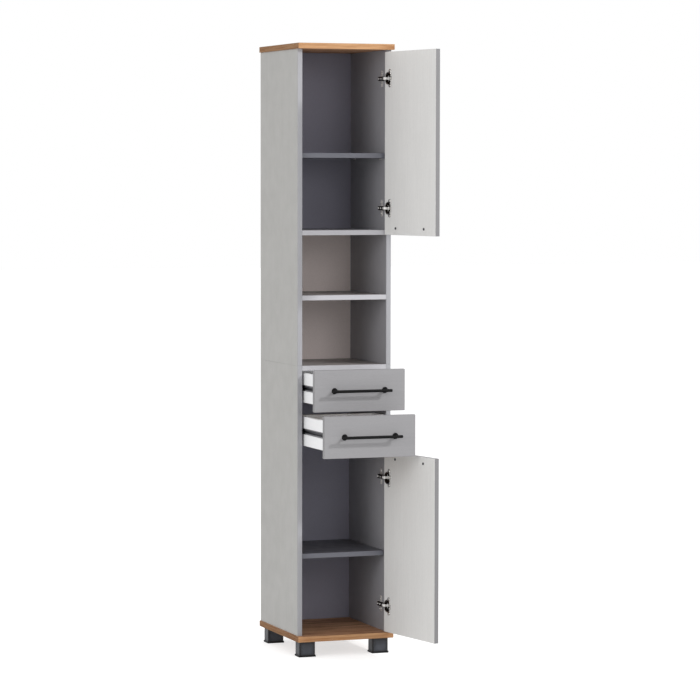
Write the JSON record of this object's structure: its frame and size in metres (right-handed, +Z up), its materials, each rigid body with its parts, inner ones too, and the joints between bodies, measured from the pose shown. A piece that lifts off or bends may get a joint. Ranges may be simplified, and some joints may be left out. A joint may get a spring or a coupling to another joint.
{
  "type": "tall bathroom cabinet",
  "caption": "Tall narrow bathroom cabinet with hinged doors, drawers between them, open niches, loose shelves, bar handles and short square feet.",
  "frame": {"origin": "on the floor, in the middle of the space that the cabinet takes up with its doors and drawers open as modelled, which is 30 mm to the right of the carcass's middle and 146 mm in front of the middle of its side panels", "axes": "+Z up, -Y out of the front, +X to the right seen from the front"},
  "size_m": [0.3684, 0.6412, 1.853],
  "materials": {
    "oak_board": "oak-grain laminate, satin",
    "grey_board": "plain grey laminate, satin",
    "front_board": "plain grey laminate, satin",
    "white_board": "plain white laminate, matt",
    "back_board": "thin hardboard, matt",
    "beech": "raw fluted beech",
    "nickel_steel": "nickel-plated steel",
    "zinc": "zinc-plated steel",
    "black_metal": "black powder coat",
    "black_plastic": "moulded black plastic"
  },
  "bodies": {
    "carcass": {"top_board": "oak_board", "bottom_board": "oak_board", "left_side_lower": "grey_board", "right_side_lower": "grey_board", "left_side_upper": "grey_board", "right_side_upper": "grey_board", "upper_divider": "grey_board", "niche_shelf": "grey_board", "niche_floor": "grey_board", "upper_shelf": "grey_board", "lower_shelf": "grey_board", "upper_back_panel": "back_board", "niche_back_panel": "back_board", "lower_back_panel": "back_board", "wooden_dowels": "beech", "cam_locks": "zinc", "cam_bolts": "zinc", "foot_screws": "zinc", "hinge_screws": "zinc", "runner_rails": "zinc", "runner_rail_screws": "zinc", "shelf_pins": "nickel_steel", "hinge_arms": "nickel_steel", "hinge_plates": "nickel_steel", "foot_front_left": "black_plastic", "foot_front_right": "black_plastic", "foot_rear_left": "black_plastic", "foot_rear_right": "black_plastic"},
    "upper_door": {"upper_door_panel": "front_board", "upper_hinge_cups": "nickel_steel", "upper_hinge_pins": "zinc", "upper_cup_screws": "zinc", "upper_door_handle": "black_metal", "upper_door_handle_screws": "zinc"},
    "lower_door": {"lower_door_panel": "front_board", "lower_hinge_cups": "nickel_steel", "lower_hinge_pins": "zinc", "lower_cup_screws": "zinc", "lower_door_handle": "black_metal", "lower_door_handle_screws": "zinc"},
    "upper_drawer": {"upper_drawer_front": "front_board", "upper_drawer_left_side": "white_board", "upper_drawer_right_side": "white_board", "upper_drawer_back": "white_board", "upper_drawer_bottom": "white_board", "upper_drawer_slides": "zinc", "upper_drawer_fixings": "zinc", "upper_drawer_handle": "black_metal", "upper_drawer_handle_screws": "zinc"},
    "lower_drawer": {"lower_drawer_front": "front_board", "lower_drawer_left_side": "white_board", "lower_drawer_right_side": "white_board", "lower_drawer_back": "white_board", "lower_drawer_bottom": "white_board", "lower_drawer_slides": "zinc", "lower_drawer_fixings": "zinc", "lower_drawer_handle": "black_metal", "lower_drawer_handle_screws": "zinc"},
    "upper_ball_cages": {"upper_ball_cages": "zinc"},
    "lower_ball_cages": {"lower_ball_cages": "zinc"}
  },
  "joints": [
    {"name": "upper_door_hinge", "type": "hinge", "parent": "carcass", "child": "upper_door", "pos_m": [0.10762, -0.04173, 1.5537], "axis": [0, 0, 1], "range_deg": [-100.5, 4.5]},
    {"name": "lower_door_hinge", "type": "hinge", "parent": "carcass", "child": "lower_door", "pos_m": [0.10762, -0.04173, 0.343], "axis": [0, 0, 1], "range_deg": [-100.5, 4.5]},
    {"name": "upper_drawer_slide", "type": "slide", "parent": "carcass", "child": "upper_drawer", "axis": [0, -1, 0], "range_m": [-0.1185, 0.0965]},
    {"name": "lower_drawer_slide", "type": "slide", "parent": "carcass", "child": "lower_drawer", "axis": [0, -1, 0], "range_m": [-0.2065, 0.0085]},
    {"name": "upper_cage_slide", "type": "slide", "parent": "carcass", "child": "upper_ball_cages", "axis": [0, -1, 0], "range_m": [-0.05925, 0.04825]},
    {"name": "lower_cage_slide", "type": "slide", "parent": "carcass", "child": "lower_ball_cages", "axis": [0, -1, 0], "range_m": [-0.10325, 0.00425]}
  ],
  "couplings": [
    {"joint": "upper_cage_slide", "follows": "upper_drawer_slide", "ratio": 0.5},
    {"joint": "lower_cage_slide", "follows": "lower_drawer_slide", "ratio": 0.5}
  ]
}
